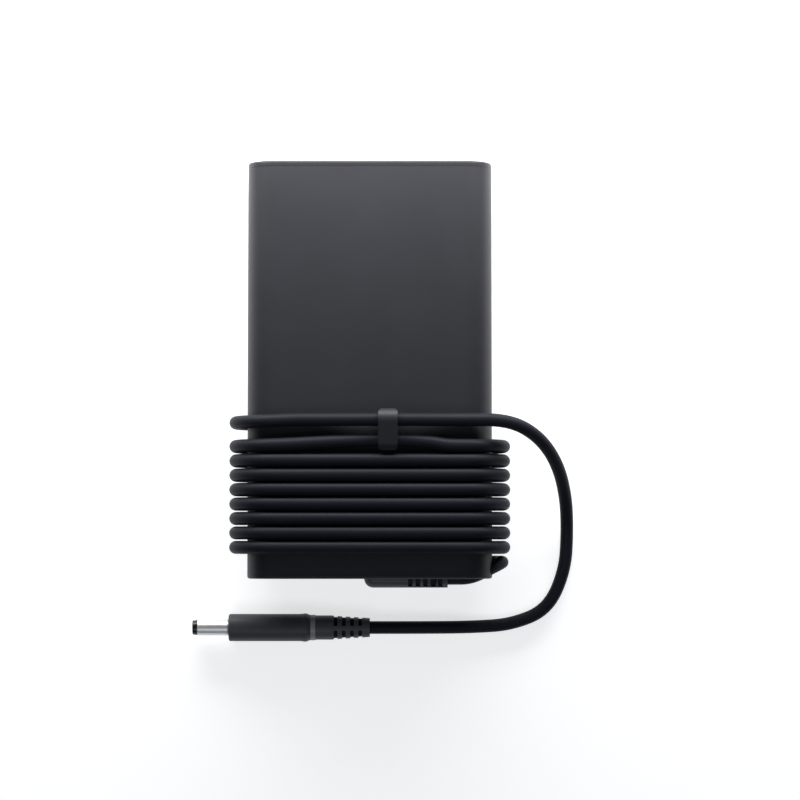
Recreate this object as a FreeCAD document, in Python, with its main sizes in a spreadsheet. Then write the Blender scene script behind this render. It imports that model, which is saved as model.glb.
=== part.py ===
# Slim laptop power adapter with its output cord wound round one end.
# Lengths are in millimetres. The case is drawn in a frame of its own, x across, y along, z out of its
# back face, and one placement tilts it onto the table, because the wound cord lifts one end.
import FreeCAD, Part
import math
import os
import re
import Sketcher
from FreeCAD import Placement, Rotation, Vector

doc = FreeCAD.newDocument("adapter")

# Driving sizes
quarter_turn = 90.0
full_turn = 360.0
case_width = 84.0
case_length = 143.0
case_depth = 23.0
case_wall = 1.6
case_corner = 9.5
end_edge = 0.8
flange = 2.0
cap_fit = 0.1
outlet_block = 11.0
inlet_spigot = 5.0

cord_size = 4.5
cord_pitch = 4.95
cord_rest = 0.3
cord_channel_gap = 0.3
front_turns = 8
side_rest = 1.85
corner_rest = 1.4
first_turn_inset = 10.7
start_turn_gap = 5.1
last_turn_gap = 8.69
slant_radius = 60.0
corner_upper_radius = 9.0
corner_lower_radius = 9.0
corner_slant = 26.0
trough_radius = 14.5
table_flat = 0.5
bow_centre = 6.3
bow_half = 25.0
bow_radius = 80.0
second_bow = 1.79
winding_end = 36.0

boot_radius = 3.25
boot_start = 1.35
boot_end = 26.7
boot_fit = 0.1
boot_slots = 5
boot_first_slot = 13.2
boot_slot_width = 1.5
boot_slot_step = 2.55
boot_slot_floor = 2.5
boot_spine = 0.4
root_radius = 2.9
root_collar_radius = 4.2
root_collar = 1.5
clip_width = 6.6
clip_eye_gap = 0.15
clip_wall = 1.4
clip_floor_gap = 0.3
clip_roof = 1.0
clip_lip = 0.9

socket_width = 24.6
socket_height = 16.8
socket_deep = 16.5
socket_wall = 1.3
socket_corner = 4.5
pin_width = 2.0
pin_height = 4.0
pin_spread = 14.0
pin_below = 2.0
earth_rise = 4.0
pin_tip_inset = 1.5
pin_bevel = 0.4
pin_tail = 5.0

board_inset = 0.2
board_side_gap = 4.5
inlet_room = 20.8
board_width = case_width - 2 * board_side_gap
board_length = case_length - flange - outlet_block - board_inset - inlet_room
board_sheet = 1.6
board_level = 4.4
# Inner pieces keep their share of the board: its length over 109 mm and its width over 75 mm
lengthwise = board_length / 109.0
crosswise = board_width / 75.0
rail_fit = 0.15
rail_size = 1.4
rail_reach = 2.2
seat_gap = 0.1
insulator_sheet = 0.4
insulator_width = 60.0 * crosswise
insulator_length = 104.0 * lengthwise
fuse_radius = 2.6
fuse_length = 12.0
fuse_cap = 2.5
fuse_across = 27.0 * crosswise
fuse_along = 38.0 * lengthwise
filter_across = -24.0 * crosswise
filter_along = 43.0 * lengthwise
filter_width = 18.0
filter_thick = 8.0
filter_height = 13.0
safety_radius = 4.0
safety_thick = 3.0
safety_across = -8.0 * crosswise
safety_step = 9.0
safety_inset = 5.7
safety_along = case_length / 2 - inlet_room - safety_inset
line_choke_across = -22.0 * crosswise
line_choke_along = 27.5 * lengthwise
line_choke_outer = 7.5
line_choke_inner = 4.2
line_choke_height = 7.0
line_coil_wall = 1.3
line_coil_half = 4.2
coil_gap = 0.1
bridge_across = -2.0 * crosswise
bridge_along = 34.0 * lengthwise
bridge_width = 20.0
bridge_thick = 3.5
bridge_height = 13.0
boost_across = 22.0 * crosswise
boost_along = 22.0 * lengthwise
boost_width = 22.0
boost_length = 17.0 * lengthwise
boost_height = 14.0
boost_leg = 4.0
boost_post = 7.0
bulk_radius = 7.3 * crosswise
bulk_length = 30.0
bulk_across = -22.0 * crosswise
bulk_along = -9.0 * lengthwise
bulk_step = 15.4 * crosswise
bulk_bevel = 0.8

spreader_sheet = 1.5
spreader_height = 14.2
spreader_foot = 5.0
primary_spreader_along = 5.0 * lengthwise
primary_spreader_length = 31.0 * lengthwise
primary_spreader_across = 18.5 * crosswise
device_width = 10.0
device_thick = 4.4
device_height = 12.5
device_lift = 1.2
switch_step = 12.0
rectifier_step = 12.0
secondary_spreader_along = -37.0 * lengthwise
secondary_spreader_length = 30.0 * lengthwise
secondary_spreader_across = -20.0 * crosswise
transformer_across = 20.0 * crosswise
transformer_along = -22.0 * lengthwise
transformer_width = 30.0
transformer_length = 28.0 * lengthwise
transformer_height = 14.2
transformer_leg = 4.5
transformer_post = 9.0
bobbin_wall = 0.9
winding_inset = 1.2
pad_width = 24.0
pad_length = 22.0 * lengthwise
output_capacitor_radius = 4.0
output_capacitor_height = 12.0
output_capacitor_across = 12.0 * crosswise
output_capacitor_step = 9.0
output_capacitor_along = -47.5 * lengthwise
output_capacitor_count = 3
output_wire = 0.8
output_wire_step = 1.9
output_wire_bend = 3.0
output_wire_reach = 3.0

plug_along = -89.3
plug_tip = -61.8
plug_insulator = 1.7
barrel_size = 5.5
barrel_bore = 4.7
plug_bore = 2.5
insulator_size = 5.3
insulator_nose = 4.9
plug_liner_length = 14.0
barrel_length = 10.9
barrel_neck = 0.3
barrel_neck_size = 5.1
barrel_root = 5.0
barrel_root_size = 7.0
contact_wall = 0.3
contact_length = 16.0
plug_body_size = 9.5
plug_body_length = 25.0
plug_bulge_size = 9.94
plug_bulge_at = 26.8
plug_neck_size = 8.7
plug_neck_at = 28.5
plug_shell_wall = 1.0
plug_front_wall = 1.2
ring_width = 1.7
ring_size = 8.9
ring_bore = 6.4
collar_length = 6.0
collar_size = 8.45
relief_length = 12.9
relief_start_size = 8.25
relief_end_size = 6.6
relief_ribs = 4
relief_slot = 1.25
relief_first_slot = 0.4
relief_step = 2.85
relief_slot_depth = 1.3
relief_spine = 1.6
plug_spigot_size = 6.2
plug_spigot_length = 6.0
light_board_sheet = 0.8
light_board_width = 5.4
light_board_length = 8.0
light_size = 1.4
clip_corner = 1.5


# The sheet holds every size named above under its own name
sheet = doc.addObject("Spreadsheet::Sheet", "Sizes")
sizes = {}


def set_sizes(values):
    for alias, number in values.items():
        cell = "A%d" % (len(sizes) + 1)
        sheet.set(cell, str(number))
        sheet.setAlias(cell, alias)
        sizes[alias] = number


set_sizes({alias: number for alias, number in list(globals().items()) if type(number) in (int, float)})


# Helpers that tie an object's sizes to the sheet
def bound(text):
    return re.sub(r"[a-z][a-z_]+", lambda m: "Sizes." + m.group(0) if m.group(0) in sizes else m.group(0), text)


def bind(thing, prop, text):
    thing.setExpression(prop, bound(text))


def bind_place(thing, corner):
    for axis, text in zip("xyz", corner):
        bind(thing, "Placement.Base." + axis, text)


def block(name, extent, corner):
    thing = doc.addObject("Part::Box", name)
    for prop, text in zip(("Length", "Width", "Height"), extent):
        bind(thing, prop, text)
    bind_place(thing, corner)
    return thing


ALONG_X = Rotation(Vector(0, 1, 0), quarter_turn)
ALONG_Y = Rotation(Vector(1, 0, 0), -quarter_turn)
UPRIGHT = Rotation()


def rod(name, radius, length, start, turn=UPRIGHT):
    thing = doc.addObject("Part::Cylinder", name)
    bind(thing, "Radius", radius)
    bind(thing, "Height", length)
    thing.Placement = Placement(Vector(), turn)
    bind_place(thing, start)
    return thing


def join(name, things):
    thing = doc.addObject("Part::MultiFuse", name)
    thing.Shapes = things
    return thing


def overlap(name, things):
    thing = doc.addObject("Part::MultiCommon", name)
    thing.Shapes = things
    return thing


def cut(name, base, tool):
    thing = doc.addObject("Part::Cut", name)
    thing.Base = base
    thing.Tool = tool
    return thing


def group(name, things):
    thing = doc.addObject("Part::Compound", name)
    thing.Links = things
    return thing


def chamfer(name, base, size, chosen):
    doc.recompute()
    thing = doc.addObject("Part::Chamfer", name)
    thing.Base = base
    thing.Edges = [(i + 1, sizes[size], sizes[size]) for i, e in enumerate(base.Shape.Edges) if chosen(e)]
    return thing


def shape_part(name, shape):
    thing = doc.addObject("Part::Feature", name)
    thing.Shape = shape
    return thing


def origin_plane(body, role):
    return [f for f in body.Origin.OriginFeatures if f.Role == role][0]


def sketch_on(body, name, role, offset="0"):
    sketch = body.newObject("Sketcher::SketchObject", name)
    sketch.AttachmentSupport = (origin_plane(body, role), [""])
    sketch.MapMode = "FlatFace"
    bind(sketch, "AttachmentOffset.Base.z", offset)
    return sketch


def name_size(sketch, kind, args, text):
    number = sketch.addConstraint(Sketcher.Constraint(kind, *args))
    label = "size_%d" % number
    sketch.renameConstraint(number, label)
    sketch.setExpression("Constraints." + label, bound(text))


def value(text):
    sheet.set("B1", "=" + text)
    sheet.recompute()
    found = sheet.get("B1")
    sheet.clear("B1")
    return float(found)


def pin_point(sketch, line, end, x_text, y_text):
    for kind, text, axis in (("DistanceX", x_text, -2), ("DistanceY", y_text, -1)):
        if text == "0":
            sketch.addConstraint(Sketcher.Constraint("PointOnObject", line, end, axis))
        else:
            name_size(sketch, kind, (-1, 1, line, end, value(text)), text)


def profile(sketch, points):
    places = [Vector(value(a), value(b), 0) for a, b in points]
    count = len(places)
    for i in range(count):
        sketch.addGeometry(Part.LineSegment(places[i], places[(i + 1) % count]))
    for i in range(count):
        sketch.addConstraint(Sketcher.Constraint("Coincident", i, 2, (i + 1) % count, 1))
    for i, (a, b) in enumerate(points):
        pin_point(sketch, i, 1, a, b)


def rounded_box(sketch, width, height, radius, middle):
    half, rise, bend = value(width) / 2, value(height) / 2, value(radius)
    centre = Vector(0, value(middle), 0)
    first = sketch.GeometryCount
    corners = [Vector(sx * (half - bend), sy * (rise - bend), 0) + centre
               for sx, sy in ((1, -1), (1, 1), (-1, 1), (-1, -1))]
    for i, corner in enumerate(corners):
        start = math.radians(90 * i - 90)
        circle = Part.Circle(corner, Vector(0, 0, 1), bend)
        sketch.addGeometry(Part.ArcOfCircle(circle, start, start + math.pi / 2))
    for i in range(4):
        a = sketch.Geometry[first + i].EndPoint
        b = sketch.Geometry[first + (i + 1) % 4].StartPoint
        sketch.addGeometry(Part.LineSegment(a, b))
    for i in range(4):
        line, nxt = first + 4 + i, first + (i + 1) % 4
        sketch.addConstraint(Sketcher.Constraint("Tangent", first + i, 2, line, 1))
        sketch.addConstraint(Sketcher.Constraint("Tangent", line, 2, nxt, 1))
        sketch.addConstraint(Sketcher.Constraint("Horizontal" if i % 2 else "Vertical", line))
        if i:
            sketch.addConstraint(Sketcher.Constraint("Equal", first, first + i))
    name_size(sketch, "Radius", (first, bend), radius)
    name_size(sketch, "DistanceX", (first + 6, 1, first + 4, 1, 2 * half), width)
    name_size(sketch, "DistanceY", (first + 7, 1, first + 5, 1, 2 * rise), height)
    name_size(sketch, "DistanceX", (-1, 1, first + 4, 1, half), "(" + width + ") / 2")
    name_size(sketch, "DistanceY", (-1, 1, first + 5, 1, rise + centre.y), "(" + height + ") / 2 + " + middle)


def pad(body, name, sketch, length, backward=False):
    feature = body.newObject("PartDesign::Pad", name)
    feature.Profile = sketch
    feature.Reversed = backward
    bind(feature, "Length", length)
    return feature


def revolve(body, name, sketch):
    feature = body.newObject("PartDesign::Revolution", name)
    feature.Profile = sketch
    feature.ReferenceAxis = (sketch, ["H_Axis"])
    feature.Angle = full_turn
    return feature


def new_body(name):
    return doc.addObject("PartDesign::Body", name)


# Case frame and its tilt on the table
half_width = case_width / 2
half_length = case_length / 2
cord_radius = cord_size / 2
back_level = -cord_rest - cord_radius
front_level = case_depth + cord_rest + cord_radius
turn_radius = (front_level - back_level) / 2
turn_centre = half_width + side_rest + cord_radius - turn_radius
corner_reach = half_width + corner_rest + cord_radius
eye_radius = cord_radius + clip_eye_gap + clip_wall
eye_level = case_depth + clip_floor_gap + eye_radius
first_turn = first_turn_inset - half_length
start_turn = first_turn - start_turn_gap
second_turn = first_turn + (front_turns - 1) * cord_pitch
last_turn = second_turn + last_turn_gap

rim = end_edge
lowest_cord = cord_rest + cord_size - table_flat
tilt = math.atan2(lowest_cord, half_length - rim - last_turn)
for step in range(8):
    drop = lowest_cord * math.cos(tilt) + rim * (math.cos(tilt) - 1)
    tilt = math.asin(drop / (half_length - rim - last_turn))
case_rise = rim * (1 - math.cos(tilt)) + (half_length - rim) * math.sin(tilt)
case_shift = -case_depth * math.sin(tilt) / 2
CASE = Placement(Vector(0, case_shift, case_rise), Rotation(Vector(1, 0, 0), -math.degrees(tilt)))
print("tilt of the case in degrees", round(math.degrees(tilt), 3))

X, Y, Z = Vector(1, 0, 0), Vector(0, 1, 0), Vector(0, 0, 1)


# A route of straight runs and arcs, each tangent to the one before
class Route:
    def __init__(self, start, heading):
        self.point, self.heading, self.edges = start, heading, []

    def straight(self, length):
        end = self.point + self.heading * length
        self.edges.append(Part.LineSegment(self.point, end).toShape())
        self.point = end

    def bend(self, axis, radius, angle):
        centre = self.point + axis.cross(self.heading) * radius
        arm = self.point - centre
        middle = centre + Rotation(axis, angle / 2).multVec(arm)
        end = centre + Rotation(axis, angle).multVec(arm)
        self.edges.append(Part.Arc(self.point, middle, end).toShape())
        self.point = end
        self.heading = Rotation(axis, angle).multVec(self.heading)

    def slant(self, length, shift, radius, side):
        spread = 2 * radius - abs(shift)
        reach = math.hypot(spread, length)
        angle = math.atan2(length, spread) - math.acos(2 * radius / reach)
        middle = (length - 2 * radius * math.sin(angle)) / math.cos(angle)
        axis = self.heading.cross(side) * (1 if shift > 0 else -1)
        self.bend(axis, radius, math.degrees(angle))
        self.straight(middle)
        self.bend(axis * -1, radius, math.degrees(angle))

    def tube(self, radius):
        circle = Part.Circle(self.edges[0].valueAt(self.edges[0].FirstParameter), self.first_heading(), radius)
        return Part.Wire(self.edges).makePipeShell([Part.Wire(circle.toShape())], True, False)

    def first_heading(self):
        edge = self.edges[0]
        return edge.tangentAt(edge.FirstParameter)


# The cord leaves its boot along the end face, rounds the corner and turns under the back
def corner_route():
    slant = math.radians(corner_slant)
    trough_level = back_level + corner_lower_radius + corner_upper_radius
    along = (start_turn - corner_upper_radius * math.sin(slant)
             - trough_radius * (1 - math.cos(slant)))
    bend_start = (corner_reach - corner_upper_radius * math.cos(slant)
                  - trough_radius * math.sin(slant))
    route = Route(Vector(boot_end, along, trough_level), X)
    route.straight(bend_start - boot_end)
    route.bend(Z, trough_radius, corner_slant)
    route.bend(route.heading.cross(Z * -1), corner_upper_radius, quarter_turn)
    route.bend(Y, corner_lower_radius, quarter_turn)
    return route


trough = corner_route()
boot_along = trough.edges[0].Vertexes[0].Point.y
boot_level = trough.edges[0].Vertexes[0].Point.z
channel = shape_part("cord_channel", corner_route().tube(cord_radius + cord_channel_gap))


# Case: an extruded sleeve closed by a cap at each end
def case_sleeve():
    body = new_body("sleeve_tube")
    outline = sketch_on(body, "sleeve_outline", "XZ_Plane", "flange - case_length / 2")
    rounded_box(outline, "case_width", "case_depth", "case_corner", "case_depth / 2")
    rounded_box(outline, "case_width - 2 * case_wall", "case_depth - 2 * case_wall",
                "case_corner - case_wall", "case_depth / 2")
    pad(body, "sleeve_pad", outline, "case_length - 2 * flange")
    solid = new_body("sleeve_whole")
    whole = sketch_on(solid, "sleeve_whole_outline", "XZ_Plane", "flange - case_length / 2")
    rounded_box(whole, "case_width", "case_depth", "case_corner", "case_depth / 2")
    pad(solid, "sleeve_whole_pad", whole, "case_length - 2 * flange")
    rails = []
    length = "case_length - 2 * flange - outlet_block - inlet_spigot - 2 * cap_fit"
    start = "flange + outlet_block + cap_fit - case_length / 2"
    for level in ("board_level - rail_size", "board_level + board_sheet + rail_fit"):
        for across in ("board_width / 2 - rail_reach", "-case_width / 2"):
            number = len(rails)
            rails.append(block("rail_%d" % number, ("(case_width - board_width) / 2 + rail_reach",
                                                    length, "rail_size"), (across, start, level)))
    inner = overlap("rails_in_case", [solid, join("rails", rails)])
    tube = join("sleeve_with_rails", [body, inner])
    return cut("case_sleeve", tube, channel)


def end_flange(name, place, corner_side):
    body = new_body(name)
    outline = sketch_on(body, name + "_outline", "XZ_Plane", place)
    rounded_box(outline, "case_width", "case_depth", "case_corner", "case_depth / 2")
    plate = pad(body, name + "_pad", outline, "flange")
    doc.recompute()
    face = [i + 1 for i, f in enumerate(plate.Shape.Faces)
            if f.Surface.TypeId == "Part::GeomPlane" and abs(f.CenterOfMass.y - corner_side) < 1e-6
            and abs(f.normalAt(0, 0).y) > 0.9][0]
    edge = body.newObject("PartDesign::Fillet", name + "_edge")
    edge.Base = (plate, ["Face%d" % face])
    bind(edge, "Radius", "end_edge")
    body.Tip = edge
    return body


def spigot(name, start, length):
    body = new_body(name)
    outline = sketch_on(body, name + "_outline", "XZ_Plane", start)
    rounded_box(outline, "case_width - 2 * case_wall - 2 * cap_fit", "case_depth - 2 * case_wall - 2 * cap_fit",
                "case_corner - case_wall - cap_fit", "case_depth / 2")
    pad(body, name + "_pad", outline, length)
    return body


# Boot seat: the boot lies half sunk in the outlet cap, and its root goes through to the inside
set_sizes({"boot_along": round(boot_along, 6), "boot_level": round(boot_level, 6)})


def outlet_end_cap():
    plate = end_flange("outlet_flange", "case_length / 2 - flange", -half_length)
    inside = spigot("outlet_block_body", "case_length / 2 - flange - outlet_block", "outlet_block")
    body = join("outlet_cap_whole", [plate, inside])
    ball = doc.addObject("Part::Sphere", "boot_seat_ball")
    bind(ball, "Radius", "boot_radius + boot_fit")
    bind_place(ball, ("boot_start", "boot_along", "boot_level"))
    seat = rod("boot_seat", "boot_radius + boot_fit", "boot_end - boot_start",
               ("boot_start", "boot_along", "boot_level"), ALONG_X)
    hole = rod("boot_root_hole", "root_radius + boot_fit", "outlet_block + boot_radius + flange",
               ("boot_start + root_radius", "boot_along", "boot_level"), ALONG_Y)
    return cut("outlet_end_cap", body, join("outlet_cuts", [ball, seat, hole, channel]))


# Mains inlet: a chamfered socket moulded in the inlet cap, with its pins through the back wall
def socket_cavity():
    body = new_body("socket_cavity")
    outline = sketch_on(body, "socket_outline", "XZ_Plane", "-case_length / 2 - 1")
    low, high = "case_depth / 2 - socket_height / 2", "case_depth / 2 + socket_height / 2"
    side = "socket_width / 2"
    profile(outline, [("-" + side, low), (side, low), (side, high + " - socket_corner"),
                      (side + " - socket_corner", high), ("-" + side + " + socket_corner", high),
                      ("-" + side, high + " - socket_corner")])
    pad(body, "socket_pad", outline, "socket_deep + 1")
    return body


def inlet_pin(name, across, rise):
    start = "case_length / 2 - socket_deep - socket_wall - pin_tail"
    length = "socket_deep + socket_wall + pin_tail - pin_tip_inset"
    pin = block(name + "_bar", ("pin_width", length, "pin_height"),
                (across + " - pin_width / 2", start, "case_depth / 2 - pin_below - pin_height / 2 + " + rise))
    tip = half_length - pin_tip_inset
    return chamfer(name, pin, "pin_bevel", lambda e: all(abs(v.Point.y - tip) < 1e-6 for v in e.Vertexes))


def inlet():
    plate = end_flange("inlet_flange", "-case_length / 2", half_length)
    ring = spigot("inlet_spigot_body", "flange - case_length / 2", "inlet_spigot")
    hollow = block("inlet_spigot_hollow",
                   ("case_width - 4 * case_wall - 2 * case_corner", "inlet_spigot", "case_depth - 4 * case_wall"),
                   ("2 * case_wall + case_corner - case_width / 2", "case_length / 2 - flange - inlet_spigot",
                    "2 * case_wall"))
    frame = cut("inlet_frame", ring, hollow)
    housing = block("socket_housing",
                    ("socket_width + 2 * socket_wall", "socket_deep + socket_wall - flange",
                     "socket_height + 2 * socket_wall"),
                    ("-socket_width / 2 - socket_wall", "case_length / 2 - socket_deep - socket_wall",
                     "case_depth / 2 - socket_height / 2 - socket_wall"))
    live = group("inlet_live_pins", [inlet_pin("line_pin", "pin_spread / 2", "0"),
                                     inlet_pin("neutral_pin", "-pin_spread / 2", "0")])
    earth = inlet_pin("inlet_earth_pin", "0", "earth_rise")
    whole = join("inlet_cap_whole", [plate, frame, housing])
    hollowed = cut("inlet_cap_hollow", whole, socket_cavity())
    cap = cut("inlet_end_cap", hollowed, join("inlet_pin_holes", [live, earth]))
    wires = [rod("inlet_wire_%d" % i, "output_wire", "case_depth / 2 - pin_below - pin_height / 2 + " + rise
                 + " - board_level - board_sheet",
                 (across, "case_length / 2 - socket_deep - socket_wall - pin_tail + output_wire",
                  "board_level + board_sheet"))
             for i, (across, rise) in enumerate((("pin_spread / 2", "0"), ("-pin_spread / 2", "0"),
                                                 ("0", "earth_rise")))]
    return [cap, live, earth, group("inlet_wires", wires)]


# Inside the case: what stands on the board starts on its upper face
FLOOR = "board_level + board_sheet"


def standing_box(name, width, length, height, across, along, lift="0"):
    return block(name, (width, length, height),
                 (across + " - (" + width + ") / 2", along + " - (" + length + ") / 2", FLOOR + " + " + lift))


def board_and_sheet():
    start = "flange + outlet_block + board_inset - case_length / 2"
    board = block("circuit_board", ("board_width", "board_length", "board_sheet"),
                  ("-board_width / 2", start, "board_level"))
    sheet_part = block("insulating_sheet", ("insulator_width", "insulator_length", "insulator_sheet"),
                       ("-insulator_width / 2", start, "case_wall"))
    return [board, sheet_part]


def fuse():
    tube = rod("fuse_tube", "fuse_radius - seat_gap", "fuse_length",
               ("fuse_across", "fuse_along - fuse_length / 2", FLOOR + " + fuse_radius"), ALONG_Y)
    ends = [rod("fuse_cap_%d" % i, "fuse_radius", "fuse_cap",
                ("fuse_across", "fuse_along " + place, FLOOR + " + fuse_radius"), ALONG_Y)
            for i, place in enumerate(("- fuse_length / 2 - seat_gap", "+ fuse_length / 2 + seat_gap - fuse_cap"))]
    return join("fuse", [tube] + ends)


def filter_parts():
    film = standing_box("film_block", "filter_width", "filter_thick", "filter_height",
                        "filter_across", "filter_along")
    top = lambda e: abs(e.CenterOfMass.z - film.Shape.BoundBox.ZMax) < 1e-6
    film = chamfer("x_capacitor", film, "bulk_bevel", top)
    discs = [rod("safety_disc_%d" % i, "safety_radius", "safety_thick",
                 ("safety_across + %d * safety_step" % i, "safety_along", FLOOR + " + safety_radius"), ALONG_Y)
             for i in range(2)]
    return [film, group("y_capacitors", discs)]


def line_choke():
    place = ("line_choke_across", "line_choke_along", FLOOR + " + line_coil_wall + coil_gap")
    ring = cut("line_choke_core", rod("choke_ring", "line_choke_outer", "line_choke_height", place),
               rod("choke_bore", "line_choke_inner", "line_choke_height", place))
    low = (place[0], place[1], FLOOR)
    outer = rod("coil_outer", "line_choke_outer + line_coil_wall + coil_gap",
                "line_choke_height + 2 * line_coil_wall + 2 * coil_gap", low)
    inner = rod("coil_inner", "line_choke_inner - line_coil_wall - coil_gap",
                "line_choke_height + 2 * line_coil_wall + 2 * coil_gap", low)
    gap = cut("coil_gap_ring", rod("coil_gap_outer", "line_choke_outer + coil_gap",
                                   "line_choke_height + 2 * coil_gap", (low[0], low[1], FLOOR + " + line_coil_wall")),
              rod("coil_gap_inner", "line_choke_inner - coil_gap", "line_choke_height + 2 * coil_gap",
                  (low[0], low[1], FLOOR + " + line_coil_wall")))
    shell = cut("coil_shell", cut("coil_ring", outer, inner), gap)
    reach = "2 * line_choke_outer + 4 * line_coil_wall"
    halves = [block("coil_side_%d" % i, ("line_choke_outer + 2 * line_coil_wall", "2 * line_coil_half", reach),
                    (low[0] + shift, low[1] + " - line_coil_half", FLOOR))
              for i, shift in enumerate((" + 1", " - 1 - line_choke_outer - 2 * line_coil_wall"))]
    coil = overlap("line_choke_windings", [shell, group("coil_sides", halves)])
    return [ring, coil]


def bridge_rectifier():
    slab = standing_box("bridge_slab", "bridge_width", "bridge_thick", "bridge_height",
                        "bridge_across", "bridge_along", "device_lift")
    legs = [standing_box("bridge_leg_%d" % i, "pin_width / 2", "pin_width / 2", "device_lift",
                         "bridge_across + %s * bridge_width / 10" % k, "bridge_along")
            for i, k in enumerate((-4, -1.5, 1.5, 4))]
    return join("bridge_rectifier", [slab] + legs)


# A shell core: two side legs, a round post between a base and a roof, with the coil round the post
def shell_core(name, width, length, height, leg, post, across, along):
    outer = standing_box(name + "_outer", width, length, height, across, along)
    window = standing_box(name + "_window", width + " - 2 * " + leg, length, height + " - 2 * " + leg + " * 0.6",
                          across, along, leg + " * 0.6")
    middle = rod(name + "_post", post + " / 2", height, (across, along, FLOOR))
    return join(name, [cut(name + "_frame", outer, window), middle])


def ring_coil(name, bore, outer, lift, height, across, along):
    place = (across, along, FLOOR + " + " + lift)
    return cut(name, rod(name + "_outer", outer, height, place), rod(name + "_bore", bore, height, place))


def boost_choke():
    core = shell_core("boost_choke_core", "boost_width", "boost_length", "boost_height", "boost_leg",
                      "boost_post", "boost_across", "boost_along")
    coil = ring_coil("boost_choke_coil", "boost_post / 2 + coil_gap", "boost_width / 2 - boost_leg - coil_gap",
                     "boost_leg * 0.6 + coil_gap", "boost_height - 1.2 * boost_leg - 2 * coil_gap",
                     "boost_across", "boost_along")
    return [core, coil]


def bulk_capacitors():
    cans = []
    for i in range(2):
        can = rod("bulk_can_%d" % i, "bulk_radius", "bulk_length",
                  ("bulk_across + %d * bulk_step" % i, "bulk_along - bulk_length / 2", FLOOR + " + bulk_radius"),
                  ALONG_Y)
        cans.append(chamfer("bulk_capacitor_%d" % i, can, "bulk_bevel",
                            lambda e: e.Closed and e.Curve.TypeId == "Part::GeomCircle"))
    return group("bulk_capacitors", cans)


def heat_spreader(name, across, along, length):
    fin = standing_box(name + "_fin", length, "spreader_sheet", "spreader_height", across, along)
    foot = block(name + "_foot", (length, "spreader_foot", "spreader_sheet"),
                 (across + " - (" + length + ") / 2", along + " - spreader_foot - spreader_sheet / 2", FLOOR))
    return join(name, [fin, foot])


def device_row(name, across, along, step):
    devices = []
    for i in range(2):
        place = across + " + (%d - 0.5) * " % i + step
        depth = along + " + spreader_sheet / 2 + seat_gap + device_thick / 2"
        slab = standing_box("%s_body_%d" % (name, i), "device_width", "device_thick",
                            "device_height", place, depth, "device_lift")
        legs = [standing_box("%s_leg_%d_%d" % (name, i, k), "pin_width / 2", "pin_width / 4", "device_lift",
                             place + " + %d * device_width / 4" % (k - 1), depth) for k in range(3)]
        devices.append(join("%s_%d" % (name, i), [slab] + legs))
    return group(name, devices)


def transformer():
    at = ("transformer_across", "transformer_along")
    core = shell_core("transformer_core", "transformer_width", "transformer_length", "transformer_height",
                      "transformer_leg", "transformer_post", *at)
    base = "transformer_leg * 0.6"
    tall = "transformer_height - 1.2 * transformer_leg - 2 * coil_gap"
    room = "transformer_width / 2 - transformer_leg - coil_gap"
    bore = "transformer_post / 2 + coil_gap"
    tube = ring_coil("bobbin_tube", bore, bore + " + bobbin_wall", base + " + coil_gap", tall, *at)
    low = ring_coil("bobbin_low_cheek", bore, room, base + " + coil_gap", "bobbin_wall", *at)
    high = ring_coil("bobbin_high_cheek", bore, room,
                     "transformer_height - " + base + " - coil_gap - bobbin_wall", "bobbin_wall", *at)
    winding = ring_coil("transformer_winding", bore + " + bobbin_wall + coil_gap", room + " - winding_inset",
                        base + " + coil_gap + bobbin_wall + seat_gap", tall + " - 2 * bobbin_wall - 2 * seat_gap", *at)
    gap_pad = standing_box("thermal_pad", "pad_width", "pad_length",
                           "case_depth - case_wall - board_level - board_sheet - transformer_height",
                           at[0], at[1], "transformer_height")
    return [core, join("transformer_bobbin", [tube, low, high]), winding, gap_pad]


def output_capacitors():
    cans = []
    for i in range(output_capacitor_count):
        can = rod("output_can_%d" % i, "output_capacitor_radius", "output_capacitor_height",
                  ("output_capacitor_across + %d * output_capacitor_step" % i, "output_capacitor_along", FLOOR))
        cans.append(chamfer("output_capacitor_%d" % i, can, "bulk_bevel",
                            lambda e: e.Closed and e.CenterOfMass.z > board_level + board_sheet + 1))
    return group("output_capacitors", cans)


def output_wires():
    tubes = []
    inner_face = -half_length + flange + outlet_block + root_collar
    floor = board_level + board_sheet
    for i in (-1, 0, 1):
        start = Vector(boot_start + root_radius + i * output_wire_step, inner_face, boot_level)
        route = Route(start, Y)
        route.straight(output_wire_reach)
        route.bend(X * -1, output_wire_bend, quarter_turn)
        route.straight(boot_level - output_wire_bend - floor)
        tubes.append(route.tube(output_wire))
    return shape_part("output_wires", Part.makeCompound(tubes))


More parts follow.
